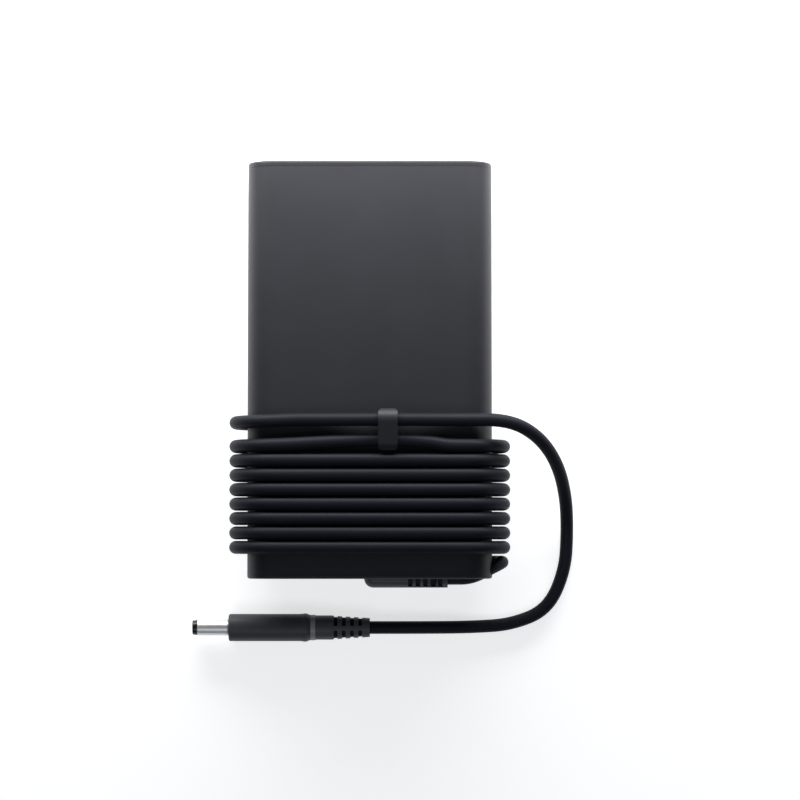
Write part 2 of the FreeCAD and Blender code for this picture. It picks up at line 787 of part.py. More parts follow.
# Boot on the case: a slotted bar round the cord with a root through the cap and a collar behind it
def cord_boot():
    ball = doc.addObject("Part::Sphere", "boot_ball")
    bind(ball, "Radius", "boot_radius")
    bind_place(ball, ("boot_start", "boot_along", "boot_level"))
    bar = rod("boot_bar", "boot_radius", "boot_end - boot_start", ("boot_start", "boot_along", "boot_level"), ALONG_X)
    root = rod("boot_root", "root_radius", "outlet_block + flange - case_length / 2 - boot_along",
               ("boot_start + root_radius", "boot_along", "boot_level"), ALONG_Y)
    collar = rod("boot_collar", "root_collar_radius", "root_collar",
                 ("boot_start + root_radius", "flange + outlet_block - case_length / 2", "boot_level"), ALONG_Y)
    whole = join("boot_whole", [ball, bar, root, collar])
    rings = []
    for i in range(boot_slots):
        start = ("boot_first_slot + %d * boot_slot_step" % i, "boot_along", "boot_level")
        outer = rod("boot_slot_outer_%d" % i, "boot_radius", "boot_slot_width", start, ALONG_X)
        floor = rod("boot_slot_floor_%d" % i, "boot_slot_floor", "boot_slot_width", start, ALONG_X)
        rings.append(cut("boot_slot_%d" % i, outer, floor))
    spine = block("boot_spine_block", ("boot_end", "boot_spine", "2 * boot_radius"),
                  ("0", "boot_along - boot_radius", "boot_level - boot_radius"))
    return cut("cord_boot", whole, cut("boot_side_slots", join("boot_slot_rings", rings), spine))


# Wound cord: one unbroken tube, each front pass level and each back pass carrying it on by one pitch
def winding_route():
    route = corner_route()
    span = 2 * turn_centre
    turns = [first_turn + i * cord_pitch for i in range(front_turns)] + [last_turn]
    route.straight(route.point.x - turn_centre)
    route.slant(span, turns[0] - start_turn, slant_radius, Y)
    for number, turn in enumerate(turns):
        for quarter in range(2):
            route.bend(Y, turn_radius, quarter_turn)
        lead = bow_centre - bow_half + turn_centre
        if number < front_turns - 1:
            route.straight(span)
        elif number == front_turns - 1:
            route.straight(lead)
            route.slant(bow_half, second_bow, bow_radius, Y)
            route.slant(bow_half, -second_bow, bow_radius, Y)
            route.straight(span - lead - 2 * bow_half)
        else:
            raised = eye_level - front_level
            route.straight(lead)
            route.slant(bow_half, raised, bow_radius, Z)
            route.slant(bow_half, -raised, bow_radius, Z)
            route.straight(winding_end - bow_centre - bow_half)
            return route
        for quarter in range(2):
            route.bend(Y, turn_radius, quarter_turn)
        route.slant(span, turns[number + 1] - turn, slant_radius, Y)


def least_gap(edges, size, step=1.2, away=12):
    points, passed, along = [], [], 0.0
    for edge in edges:
        count = max(2, int(edge.Length / step))
        for i in range(count):
            share = edge.FirstParameter + (edge.LastParameter - edge.FirstParameter) * i / count
            points.append(edge.valueAt(share))
            passed.append(along + edge.Length * i / count)
        along += edge.Length
    cells = {}
    for i, p in enumerate(points):
        cells.setdefault((int(p.x // 8), int(p.y // 8), int(p.z // 8)), []).append(i)
    least = 1e9
    for (a, b, c), members in cells.items():
        near = [j for u in (-1, 0, 1) for v in (-1, 0, 1) for w in (-1, 0, 1)
                for j in cells.get((a + u, b + v, c + w), [])]
        for i in members:
            for j in near:
                if passed[j] - passed[i] > away:
                    least = min(least, points[i].distanceToPoint(points[j]))
    return least - size


def cord_winding():
    route = winding_route()
    wire = Part.Wire(route.edges)
    tube = route.tube(cord_radius)
    section = math.pi * cord_radius ** 2 * wire.Length
    print("winding length", round(wire.Length, 1), "volume share", round(tube.Volume / section, 5))
    print("winding least gap to itself", round(least_gap(route.edges, cord_size), 3))
    print("winding radii", corner_upper_radius, corner_lower_radius, round(turn_radius, 2),
          slant_radius, bow_radius)
    wide = case_length
    table = Part.makeBox(2 * wide, 2 * wide, wide, Vector(-wide, -wide, -wide))
    table.Placement = CASE.inverse()
    return shape_part("cord_winding", tube.cut(table)), route


hooked_turn = second_turn + second_bow
plug_rise = plug_bulge_size / 2
set_sizes({"eye_level": eye_level, "front_level": front_level, "last_turn": last_turn,
           "hooked_turn": hooked_turn})


# Cord clip: a closed eye round the last strand and an open hook over the one beside it
def cord_clip():
    left = "bow_centre - clip_width / 2"
    reach = math.hypot(last_turn - hooked_turn, eye_level - front_level)
    lean = math.atan2(eye_level - front_level, last_turn - hooked_turn)
    hug = "cord_size / 2 + clip_eye_gap"
    inner = reach + cord_radius + clip_eye_gap
    hook_radius = cord_radius + clip_eye_gap + clip_roof
    eye, hook = ("last_turn", "eye_level"), ("hooked_turn", "front_level")
    a, b = Vector(0, last_turn, eye_level), Vector(0, hooked_turn, front_level)
    steep = lean + math.pi / 2 + math.asin((eye_radius - hook_radius) / reach)
    normal = Vector(0, math.cos(steep), math.sin(steep))
    start = Vector(bow_centre - clip_width / 2, 0, 0)
    corners = [start + p for p in (a, a + normal * eye_radius, b + normal * hook_radius, b)]
    roof = shape_part("clip_roof_block", Part.Face(Part.makePolygon(corners + corners[:1])).extrude(
        X * clip_width))

    def disc(name, radius, place):
        return rod(name, radius, "clip_width", (left,) + place, ALONG_X)

    set_sizes({"clip_hook_reach": inner})
    lip_ring = cut("clip_lip_ring", disc("clip_lip_outer", "clip_hook_reach + clip_lip", eye),
                   disc("clip_lip_inner", "clip_hook_reach", eye))
    lip = overlap("clip_lip_part", [lip_ring, block("clip_lip_space",
                  ("clip_width", "clip_hook_reach + clip_lip", "front_level + cord_size / 2 - case_depth"),
                  (left, "last_turn - clip_hook_reach - clip_lip", "case_depth"))])
    solid = join("clip_solid", [disc("clip_eye", "cord_size / 2 + clip_eye_gap + clip_wall", eye),
                                disc("clip_hook", "cord_size / 2 + clip_eye_gap + clip_roof", hook), roof, lip])
    mouth_ring = cut("clip_mouth_ring", disc("clip_mouth_outer", "clip_hook_reach", eye),
                     disc("clip_mouth_inner", "clip_hook_reach - cord_size - 2 * clip_eye_gap", eye))
    below = [start + p for p in (b, b + (a - b), a - Z * 2 * inner, b - Z * 2 * inner - Y * inner,
                                 b - (a - b))]
    mouth_space = shape_part("clip_mouth_space", Part.Face(Part.makePolygon(below + below[:1])).extrude(
        X * clip_width))
    mouth = overlap("clip_mouth", [mouth_ring, mouth_space])
    floor = block("clip_floor_cut", ("clip_width", "3 * clip_hook_reach", "case_depth"),
                  (left, "last_turn - 2 * clip_hook_reach", "clip_floor_gap"))
    holes = join("clip_holes", [disc("clip_eye_hole", hug, eye), disc("clip_hook_hole", hug, hook), mouth, floor])
    whole = cut("clip_cut", solid, holes)
    plan = block("clip_plan", ("clip_width", "clip_hook_reach + clip_lip + cord_size / 2 + clip_eye_gap + clip_wall",
                               "2 * case_depth"), (left, "last_turn - clip_hook_reach - clip_lip", "0"))
    doc.recompute()
    rounded = doc.addObject("Part::Fillet", "clip_plan_round")
    rounded.Base = plan
    rounded.Edges = [(i + 1, clip_corner, clip_corner) for i, e in enumerate(plan.Shape.Edges)
                     if abs(e.tangentAt(0).z) > 0.9]
    return overlap("cord_clip", [whole, rounded])


# Plug, built along its axis from the tip and laid on the table beside the case
def turned(name, points):
    body = new_body(name + "_turned")
    sketch = sketch_on(body, name + "_profile", "XY_Plane")
    profile(sketch, points)
    revolve(body, name + "_turn", sketch)
    return body


def plug():
    front, root = "plug_insulator + barrel_length", "plug_insulator + barrel_length + plug_front_wall"
    back = front + " + plug_neck_at"
    bore = "plug_bore / 2 + contact_wall + seat_gap / 2"
    insulator = turned("plug_tip_insulator", [
        ("0", "plug_bore / 2"), ("0", "insulator_nose / 2"), ("plug_insulator", "insulator_size / 2"),
        ("plug_insulator", "barrel_bore / 2 - seat_gap"),
        ("plug_liner_length", "barrel_bore / 2 - seat_gap"), ("plug_liner_length", bore),
        ("plug_insulator", bore), ("plug_insulator", "plug_bore / 2")])
    barrel = turned("plug_barrel", [
        ("plug_insulator", "barrel_bore / 2"), ("plug_insulator", "barrel_size / 2"),
        (front + " - barrel_neck", "barrel_size / 2"), (front + " - barrel_neck", "barrel_neck_size / 2"),
        (root, "barrel_neck_size / 2"), (root, "barrel_root_size / 2"),
        (root + " + barrel_root", "barrel_root_size / 2"), (root + " + barrel_root", "barrel_bore / 2")])
    contact = turned("plug_contact", [
        ("plug_insulator", "plug_bore / 2"), ("plug_insulator", "plug_bore / 2 + contact_wall"),
        ("plug_insulator + contact_length", "plug_bore / 2 + contact_wall"),
        ("plug_insulator + contact_length", "plug_bore / 2")])
    shell = turned("plug_body", [
        (front, "barrel_neck_size / 2 + seat_gap / 2"), (front, "plug_body_size / 2 - end_edge / 2"),
        (front + " + end_edge / 2", "plug_body_size / 2"), (front + " + plug_body_length", "plug_body_size / 2"),
        (front + " + plug_bulge_at", "plug_bulge_size / 2"), (back, "plug_neck_size / 2"),
        (back, "plug_body_size / 2 - plug_shell_wall"),
        (root + " + barrel_root + seat_gap", "plug_body_size / 2 - plug_shell_wall"),
        (root + " + barrel_root + seat_gap", "barrel_root_size / 2 + seat_gap / 2"),
        (root, "barrel_root_size / 2 + seat_gap / 2"), (root, "barrel_neck_size / 2 + seat_gap / 2")])
    ring = turned("plug_light_ring", [
        (back, "ring_bore / 2"), (back, "ring_size / 2"), (back + " + ring_width", "ring_size / 2"),
        (back + " + ring_width", "ring_bore / 2")])
    collar = back + " + ring_width"
    relief = collar + " + collar_length"
    boot = turned("plug_boot", [
        (back + " - plug_spigot_length", "0"), (back + " - plug_spigot_length", "plug_spigot_size / 2"),
        (collar, "plug_spigot_size / 2"), (collar, "collar_size / 2"), (relief, "collar_size / 2"),
        (relief, "relief_start_size / 2"), (relief + " + relief_length", "relief_end_size / 2"),
        (relief + " + relief_length", "0")])
    rings = []
    for i in range(relief_ribs):
        start = (relief + " + relief_first_slot + %d * relief_step" % i, "0", "0")
        floor = "relief_end_size / 2 - relief_slot_depth"
        rings.append(cut("relief_ring_%d" % i, rod("relief_outer_%d" % i, "collar_size", "relief_slot", start, ALONG_X),
                         rod("relief_floor_%d" % i, floor, "relief_slot", start, ALONG_X)))
    spine = block("relief_spine_block", ("relief_length", "relief_spine", "4 * collar_size"),
                  (relief, "-relief_spine / 2", "-2 * collar_size"))
    slots = cut("relief_slots", join("relief_rings", rings), spine)
    ribbed = cut("plug_boot", boot, slots)
    at = back + " - plug_spigot_length - light_board_length"
    card = block("light_card", ("light_board_length", "light_board_width", "light_board_sheet"),
                 (at, "-light_board_width / 2", "-light_board_sheet / 2"))
    lights = [block("light_%d" % i, ("light_size", "light_size", "light_size"),
                    (back + " - plug_spigot_length - light_size",
                     "%d * light_board_width / 4 - light_size / 2" % (2 * i - 1), "light_board_sheet / 2"))
              for i in range(2)]
    board = group("plug_light_board", [card] + lights)
    return {"plug_tip_insulator": insulator, "plug_barrel": barrel, "plug_contact": contact, "plug_body": shell,
            "plug_light_ring": ring, "plug_boot": ribbed, "plug_light_board": board}


# Free cord: points of its route from the last strand, over the edge, down to the table and to the plug
plug_place = Placement(Vector(plug_tip, plug_along, plug_rise), Rotation())
free_lead, plug_lead = 11.5, 21.0
free_points = [
    Vector(57.8, -22.4, 25.2),
    Vector(64.6, -31.8, 17.2),
    Vector(68.0, -43.6, 8.2),
    Vector(68.8, -56.0, 2.25),
    Vector(68.0, -69.6, 2.25),
    Vector(62.0, -83.2, 2.25),
    Vector(49.4, -88.4, 2.25),
    Vector(36.4, -89.3, 2.25),
]


def arc_path(points):
    edges, radii, start = [], [], points[0]
    for i in range(1, len(points) - 1):
        before, after = points[i] - points[i - 1], points[i + 1] - points[i]
        turn = before.getAngle(after)
        reach = 0.45 * min(before.Length, after.Length)
        before.normalize()
        after.normalize()
        enter, leave = points[i] - before * reach, points[i] + after * reach
        radius = reach / math.tan(turn / 2)
        inward = after - before
        inward.normalize()
        middle = points[i] + inward * (radius / math.cos(turn / 2) - radius)
        edges.append(Part.LineSegment(start, enter).toShape())
        edges.append(Part.Arc(enter, middle, leave).toShape())
        radii.append(round(radius, 1))
        start = leave
    edges.append(Part.LineSegment(start, points[-1]).toShape())
    return edges, radii


def cord_free(winding):
    start = CASE.multVec(winding.point)
    end = Vector(plug_tip + value("plug_insulator + barrel_length + plug_neck_at + ring_width"
                                       " + collar_length + relief_length"), plug_along, plug_rise)
    route = Route(start, CASE.Rotation.multVec(winding.heading))
    ends = [start, start + route.heading * free_lead], [end + X * plug_lead, end]
    route.edges, radii = arc_path(ends[0] + free_points + ends[1])
    tube = route.tube(cord_radius)
    length = Part.Wire(route.edges).Length
    print("free cord radii", radii)
    print("free cord length", round(length, 1), "volume share",
          round(tube.Volume / (math.pi * cord_radius ** 2 * length), 5))
    return shape_part("cord_free", tube)


# Assembly: everything that the case carries takes the tilt, the plug takes its place on the table
parts = {}


def keep(node, thing, place):
    thing.Label = node + "_shape"
    holder = group("placed_" + node, [thing])
    holder.Label = node
    holder.Placement = place
    parts[node] = holder


cap, live_pins, earth_pin, wires = inlet()
in_case = {"case_sleeve": case_sleeve(), "outlet_end_cap": outlet_end_cap(), "inlet_end_cap": cap,
           "inlet_live_pins": live_pins, "inlet_earth_pin": earth_pin, "inlet_wires": wires}
in_case["circuit_board"], in_case["insulating_sheet"] = board_and_sheet()
in_case["fuse"] = fuse()
in_case["x_capacitor"], in_case["y_capacitors"] = filter_parts()
in_case["line_choke_core"], in_case["line_choke_windings"] = line_choke()
in_case["bridge_rectifier"] = bridge_rectifier()
in_case["boost_choke_core"], in_case["boost_choke_coil"] = boost_choke()
in_case["bulk_capacitors"] = bulk_capacitors()
in_case["primary_heat_spreader"] = heat_spreader("primary_heat_spreader", "primary_spreader_across",
                                                 "primary_spreader_along", "primary_spreader_length")
in_case["power_transistors"] = device_row("power_transistors", "primary_spreader_across",
                                          "primary_spreader_along", "switch_step")
in_case["secondary_heat_spreader"] = heat_spreader("secondary_heat_spreader", "secondary_spreader_across",
                                                   "secondary_spreader_along", "secondary_spreader_length")
in_case["output_rectifiers"] = device_row("output_rectifiers", "secondary_spreader_across",
                                          "secondary_spreader_along", "rectifier_step")
(in_case["transformer_core"], in_case["transformer_bobbin"],
 in_case["transformer_winding"], in_case["thermal_pad"]) = transformer()
in_case["output_capacitors"] = output_capacitors()
in_case["output_wires"] = output_wires()
in_case["cord_boot"] = cord_boot()
in_case["cord_winding"], winding = cord_winding()
in_case["cord_clip"] = cord_clip()
on_table = plug()
free = cord_free(winding)
doc.recompute()
for node, thing in in_case.items():
    keep(node, thing, CASE)
for node, thing in on_table.items():
    keep(node, thing, plug_place)
keep("cord_free", free, Placement())
doc.recompute()

for thing in doc.Objects:
    if {"Invalid", "Error"} & set(thing.State):
        raise RuntimeError(thing.Name + " failed: " + str(thing.State))
os.makedirs("parts", exist_ok=True)
for node, thing in parts.items():
    shape = thing.Shape
    if shape.isNull() or not shape.isValid() or not shape.Solids:
        raise RuntimeError(node + " has no valid solid")
    shape.exportStep("parts/" + node + ".step")
print("nodes", len(parts))
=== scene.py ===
# %% [markdown]
# Laptop power adapter: the frame.
# The adapter was modelled at its real size as separate solids. This notebook loads those solids as a fixed
# frame and gives each piece its finish. Everything below is in metres, with +Z up off the table.

# %% load the frame
import math

import bmesh
import bpy
from mathutils import Matrix, Vector


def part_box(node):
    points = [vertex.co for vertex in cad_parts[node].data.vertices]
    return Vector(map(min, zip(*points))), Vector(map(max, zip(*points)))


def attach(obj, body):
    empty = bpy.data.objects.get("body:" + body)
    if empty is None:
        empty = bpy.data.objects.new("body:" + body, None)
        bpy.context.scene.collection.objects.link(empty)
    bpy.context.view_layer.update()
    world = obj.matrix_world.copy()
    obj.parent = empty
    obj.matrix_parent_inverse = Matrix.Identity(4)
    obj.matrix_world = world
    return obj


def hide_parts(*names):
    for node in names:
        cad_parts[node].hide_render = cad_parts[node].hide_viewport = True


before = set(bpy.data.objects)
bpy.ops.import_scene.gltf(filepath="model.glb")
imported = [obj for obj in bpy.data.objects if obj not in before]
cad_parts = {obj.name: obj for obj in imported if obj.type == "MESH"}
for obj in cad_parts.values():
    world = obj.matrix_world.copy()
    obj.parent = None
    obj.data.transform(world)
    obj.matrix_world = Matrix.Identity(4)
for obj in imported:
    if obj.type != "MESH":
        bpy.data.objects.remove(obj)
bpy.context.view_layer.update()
MM = 0.001
ADAPTER, CLIP = "adapter", "clip"
print("pieces in the frame", len(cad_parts))

# %% [markdown]
# The case lies a little tilted, because the cord that is wound round one end lifts it off the table.
# A point is written in the case's own axes, in millimetres, with x across, y along and z out of the back
# face, and one function turns it onto the table. The sizes repeat the ones that the solids were made from.

# %% case axes
case_width, case_length, case_depth = 84.0, 143.0, 23.0
cord_size, cord_pitch, cord_rest = 4.5, 4.95, 0.3
side_rest, table_flat, end_edge = 1.85, 0.5, 0.8
cord_radius = cord_size / 2
first_inset, start_step, last_step = 10.7, 5.1, 8.69
first_turn = first_inset - case_length / 2
start_turn = first_turn - start_step
front_turns = 8
second_turn = first_turn + (front_turns - 1) * cord_pitch
last_turn = second_turn + last_step
second_bow, bow_centre, bow_half = 1.79, 6.3, 25.0
back_level = -cord_rest - cord_radius
front_level = case_depth + cord_rest + cord_radius
turn_radius = (front_level - back_level) / 2
turn_centre = case_width / 2 + side_rest + cord_radius - turn_radius
clip_wall, clip_play = 1.4, 0.15
eye_level = case_depth + cord_rest + cord_radius + clip_play + clip_wall
lift = cord_rest + cord_size - table_flat
arm = case_length / 2 - end_edge - last_turn
tilt = math.atan2(lift, arm)
for step in range(8):
    tilt = math.asin((lift * math.cos(tilt) + end_edge * (math.cos(tilt) - 1)) / arm)
rise = end_edge * (1 - math.cos(tilt)) + (case_length / 2 - end_edge) * math.sin(tilt)
shift = -case_depth * math.sin(tilt) / 2


def on_table(x, y, z):
    return Vector((x, y * math.cos(tilt) + z * math.sin(tilt) + shift,
                   z * math.cos(tilt) - y * math.sin(tilt) + rise)) * MM


print("tilt", round(math.degrees(tilt), 3))

# %% [markdown]
# The camera hangs straight above the table, as in the photograph, far enough off that the sides of the
# case hardly show. A quarter of the picture is left free round the adapter.

# %% camera
camera_data = bpy.data.cameras.new("camera")
camera_data.lens = 130.5
camera_data.sensor_width = 36.0
camera = bpy.data.objects.new("camera", camera_data)
camera.location = Vector((10.4, -10.06, 1015.0)) * MM
bpy.context.collection.objects.link(camera)
bpy.context.scene.camera = camera

# %% [markdown]
# Shader groups: an effect that several plastics share is built once as a node group and placed in each
# material with its own numbers. Mould grain is the faint sandy texture that spark erosion leaves in a mould.
# Handling marks are the soft smears and dust that make one part of a plain surface shinier than another.


# %% shader groups
def new_group(name, inputs, outputs):
    tree = bpy.data.node_groups.new(name, "ShaderNodeTree")
    for label, start in inputs:
        socket = tree.interface.new_socket(label, in_out="INPUT", socket_type="NodeSocketFloat")
        socket.default_value = start
    for label in outputs:
        tree.interface.new_socket(label, in_out="OUTPUT", socket_type="NodeSocketFloat")
    return tree, tree.nodes.new("NodeGroupInput"), tree.nodes.new("NodeGroupOutput")


def add(tree, kind, **values):
    node = tree.nodes.new(kind)
    for key, setting in values.items():
        if key in node.inputs:
            node.inputs[key].default_value = setting
        else:
            setattr(node, key, setting)
    return node


def blend_values(tree, low, high, factor):
    mix = add(tree, "ShaderNodeMapRange")
    tree.links.new(factor, mix.inputs["Value"])
    for socket, source in (("To Min", low), ("To Max", high)):
        if hasattr(source, "links"):
            tree.links.new(source, mix.inputs[socket])
        else:
            mix.inputs[socket].default_value = source
    return mix.outputs["Result"]


def mould_grain():
    sizes = [("Scale", 4000.0), ("Blotch Scale", 60.0)]
    tree, given, result = new_group("mould grain", sizes, ["Height", "Blotch"])
    place = add(tree, "ShaderNodeTexCoord")
    grain = add(tree, "ShaderNodeTexNoise", Detail=3.0, Roughness=0.6)
    blotch = add(tree, "ShaderNodeTexNoise", Detail=4.0, Roughness=0.55)
    for node, socket in ((grain, "Scale"), (blotch, "Blotch Scale")):
        tree.links.new(place.outputs["Object"], node.inputs["Vector"])
        tree.links.new(given.outputs[socket], node.inputs["Scale"])
    tree.links.new(grain.outputs["Fac"], result.inputs["Height"])
    tree.links.new(blotch.outputs["Fac"], result.inputs["Blotch"])
    return tree


def handling_marks():
    tree, given, result = new_group("handling marks", [("Scale", 30.0), ("Amount", 0.5)], ["Mask"])
    place = add(tree, "ShaderNodeTexCoord")
    stretch = add(tree, "ShaderNodeMapping")
    stretch.inputs["Scale"].default_value = (1.0, 0.35, 1.0)
    smear = add(tree, "ShaderNodeTexNoise", Detail=6.0, Roughness=0.7, Distortion=0.6)
    band = add(tree, "ShaderNodeMapRange")
    band.inputs["From Min"].default_value = 0.48
    band.inputs["From Max"].default_value = 0.72
    tree.links.new(place.outputs["Object"], stretch.inputs["Vector"])
    tree.links.new(stretch.outputs["Vector"], smear.inputs["Vector"])
    tree.links.new(given.outputs["Scale"], smear.inputs["Scale"])
    tree.links.new(smear.outputs["Fac"], band.inputs["Value"])
    tree.links.new(given.outputs["Amount"], band.inputs["To Max"])
    tree.links.new(band.outputs["Result"], result.inputs["Mask"])
    return tree


GRAIN, MARKS = mould_grain(), handling_marks()


def plastic(name, colour, rough, rough_worn, grain_scale, grain_depth, blotch_scale=60.0, marks=0.4,
            metallic=0.0, tint=None, gloss=0.5):
    material = bpy.data.materials.new(name)
    material.use_nodes = True
    tree = material.node_tree
    shader = tree.nodes["Principled BSDF"]
    shader.inputs["Metallic"].default_value = metallic
    shader.inputs["Specular IOR Level"].default_value = gloss
    grain = add(tree, "ShaderNodeGroup", node_tree=GRAIN)
    grain.inputs["Scale"].default_value = grain_scale
    grain.inputs["Blotch Scale"].default_value = blotch_scale
    smear = add(tree, "ShaderNodeGroup", node_tree=MARKS)
    smear.inputs["Amount"].default_value = marks
    shade = add(tree, "ShaderNodeMix", data_type="RGBA")
    shade.inputs["A"].default_value = (*colour, 1.0)
    shade.inputs["B"].default_value = (*(tint or [min(1.0, c * 1.35) for c in colour]), 1.0)
    tree.links.new(grain.outputs["Blotch"], shade.inputs["Factor"])
    tree.links.new(shade.outputs["Result"], shader.inputs["Base Color"])
    tree.links.new(blend_values(tree, rough, rough_worn, smear.outputs["Mask"]), shader.inputs["Roughness"])
    bump = add(tree, "ShaderNodeBump", Strength=0.35, Distance=grain_depth)
    tree.links.new(grain.outputs["Height"], bump.inputs["Height"])
    tree.links.new(bump.outputs["Normal"], shader.inputs["Normal"])
    return material


case_black = plastic("case black", (0.0205, 0.0208, 0.0250), 0.48, 0.42, 5200.0, 0.00003, gloss=0.32)
cap_black = plastic("cap black", (0.0185, 0.0188, 0.0225), 0.44, 0.38, 5200.0, 0.00003, gloss=0.32)
cord_black = plastic("cord black", (0.0100, 0.0115, 0.0165), 0.52, 0.48, 3400.0, 0.000006, gloss=0.12)
clip_black = plastic("clip black", (0.0160, 0.0175, 0.0235), 0.52, 0.46, 4200.0, 0.00003, gloss=0.35)
boot_black = plastic("boot black", (0.0640, 0.0650, 0.0720), 0.48, 0.42, 4200.0, 0.00003)
plug_grey = plastic("plug grey", (0.0590, 0.0600, 0.0670), 0.50, 0.44, 4600.0, 0.00002, gloss=0.4)
plug_boot_grey = plastic("plug boot grey", (0.0720, 0.0730, 0.0820), 0.50, 0.44, 4600.0, 0.00002, gloss=0.4)
nickel = plastic("nickel", (0.93, 0.93, 0.92), 0.46, 0.50, 3000.0, 0.000005, metallic=1.0,
                 tint=(0.88, 0.88, 0.87))
nickel.node_tree.nodes["Principled BSDF"].inputs["Specular Tint"].default_value = (0.45, 0.45, 0.46, 1.0)
tip_black = plastic("tip black", (0.006, 0.006, 0.007), 0.3, 0.26, 5000.0, 0.00002)
ring_clear = plastic("ring clear", (0.290, 0.292, 0.312), 0.34, 0.4, 3000.0, 0.00001)
brass = plastic("brass", (0.62, 0.45, 0.2), 0.28, 0.34, 3000.0, 0.000005, metallic=1.0)
copper = plastic("copper", (0.6, 0.27, 0.12), 0.32, 0.4, 6000.0, 0.00003, metallic=1.0)
steel = plastic("aluminium", (0.62, 0.63, 0.65), 0.34, 0.42, 3500.0, 0.00001, metallic=1.0)
ferrite = plastic("ferrite", (0.05, 0.05, 0.055), 0.6, 0.5, 2500.0, 0.00005)
board_green = plastic("board green", (0.02, 0.11, 0.045), 0.35, 0.4, 900.0, 0.00001)
sheet_film = plastic("insulating film", (0.72, 0.68, 0.52), 0.35, 0.4, 900.0, 0.00001)
epoxy = plastic("black epoxy", (0.02, 0.02, 0.022), 0.5, 0.42, 4500.0, 0.00003)
capacitor_yellow = plastic("capacitor yellow", (0.55, 0.4, 0.06), 0.32, 0.38, 2000.0, 0.00001)
fuse_white = plastic("fuse ceramic", (0.7, 0.69, 0.66), 0.4, 0.45, 2000.0, 0.00001)
pad_blue = plastic("pad blue grey", (0.28, 0.38, 0.46), 0.7, 0.6, 2500.0, 0.00003)
print("materials", len(bpy.data.materials))

# %% [markdown]
# Moulded pieces: the solids already have the right shape, but flat facets and knife edges give them away.
# Each visible one is copied, its triangles are joined back into faces, its edges get the small round that
# a mould leaves, and its normals are weighted by face size so that flat faces look flat. The boot on the
# case keeps its sharp edges and its triangles, because its slots lie too close together for rounds.


# %% finished copies of the solids
def finished(node, name, material, edge=0.15, body=ADAPTER, segments=2):
    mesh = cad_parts[node].data.copy()
    mesh.name = name
    work = bmesh.new()
    work.from_mesh(mesh)
    bmesh.ops.remove_doubles(work, verts=work.verts, dist=2e-6)
    if edge:
        bmesh.ops.dissolve_limit(work, angle_limit=math.radians(0.6), verts=work.verts, edges=work.edges)
    work.to_mesh(mesh)
    work.free()
    mesh.materials.clear()
    mesh.materials.append(material)
    piece = bpy.data.objects.new(name, mesh)
    bpy.context.collection.objects.link(piece)
    mesh.shade_smooth()
    mesh.set_sharp_from_angle(angle=math.radians(32))
    if edge:
        bevel = piece.modifiers.new("mould round", "BEVEL")
        bevel.width = edge * MM
        bevel.segments = segments
        bevel.limit_method = "ANGLE"
        bevel.angle_limit = math.radians(32)
        bevel.harden_normals = False
        bevel.use_clamp_overlap = True
    weighted = piece.modifiers.new("flat faces flat", "WEIGHTED_NORMAL")
    weighted.keep_sharp = not edge
    ready = bpy.data.meshes.new_from_object(piece.evaluated_get(bpy.context.evaluated_depsgraph_get()))
    piece.modifiers.clear()
    piece.data = ready
    ready.name = name
    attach(piece, body)
    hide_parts(node)
    return piece


finished("case_sleeve", "sleeve", case_black, 0.12)
finished("outlet_end_cap", "outlet_cap", cap_black, 0.12)
finished("inlet_end_cap", "inlet_cap", cap_black, 0.12)
case_boot = finished("cord_boot", "case_boot", boot_black, 0)
clip = finished("cord_clip", "clip_piece", clip_black, 0.22, CLIP, 3)
shell = finished("plug_body", "plug_shell", plug_grey, 0.15)
light_ring = finished("plug_light_ring", "light_ring", ring_clear, 0.1)
plug_relief = finished("plug_boot", "plug_relief", plug_boot_grey, 0.18)
barrel = finished("plug_barrel", "barrel", nickel, 0.12)
tip = finished("plug_tip_insulator", "tip", tip_black, 0.15)
print("finished copies", 10)

# %% [markdown]
# The relief slots on both boots are recesses, with the cord's jacket filling the boot behind them. The
# solids have the slots cut right past the cord, so a slim oval core is added inside each boot. It is wide
# across the table and low in height, and it takes the cord's darker finish, so that the slots look deep and
# dark when they are seen from above.


# %% relief cores
def add_core(piece, start, end, radius_start, radius_end, squash):
    work = bmesh.new()
    work.from_mesh(piece.data)
    turn = Matrix.Rotation(math.radians(90), 4, "Y")
    place = Matrix.Translation((start + end) / 2) @ Matrix.Diagonal((1.0, 1.0, squash, 1.0)) @ turn
    core = bmesh.ops.create_cone(work, cap_ends=True, segments=64, radius1=radius_start * MM,
                                 radius2=radius_end * MM, depth=(end - start).length, matrix=place)
    for vertex in core["verts"]:
        for face in vertex.link_faces:
            face.smooth = len(face.verts) == 4
            face.material_index = 1
    piece.data.materials.append(cord_black)
    work.to_mesh(piece.data)
    work.free()


boot_exit, boot_along, boot_level = 26.7, -71.313, 15.45
add_core(case_boot, on_table(12.6, boot_along, boot_level), on_table(boot_exit - 0.3, boot_along, boot_level),
         2.87, 2.87, 0.92)
plug_tip, plug_along, plug_rise = -61.8, -89.3, 4.97
add_core(plug_relief, Vector((plug_tip + 47.0, plug_along, plug_rise)) * MM,
         Vector((plug_tip + 61.5, plug_along, plug_rise)) * MM, 3.86, 2.95, 0.66)
print("relief cores", 2)

# %% [markdown]
# Pieces that are seldom seen keep their own mesh and only take a finish: the pins and contact in the
# sockets, and everything that is sealed in the case.

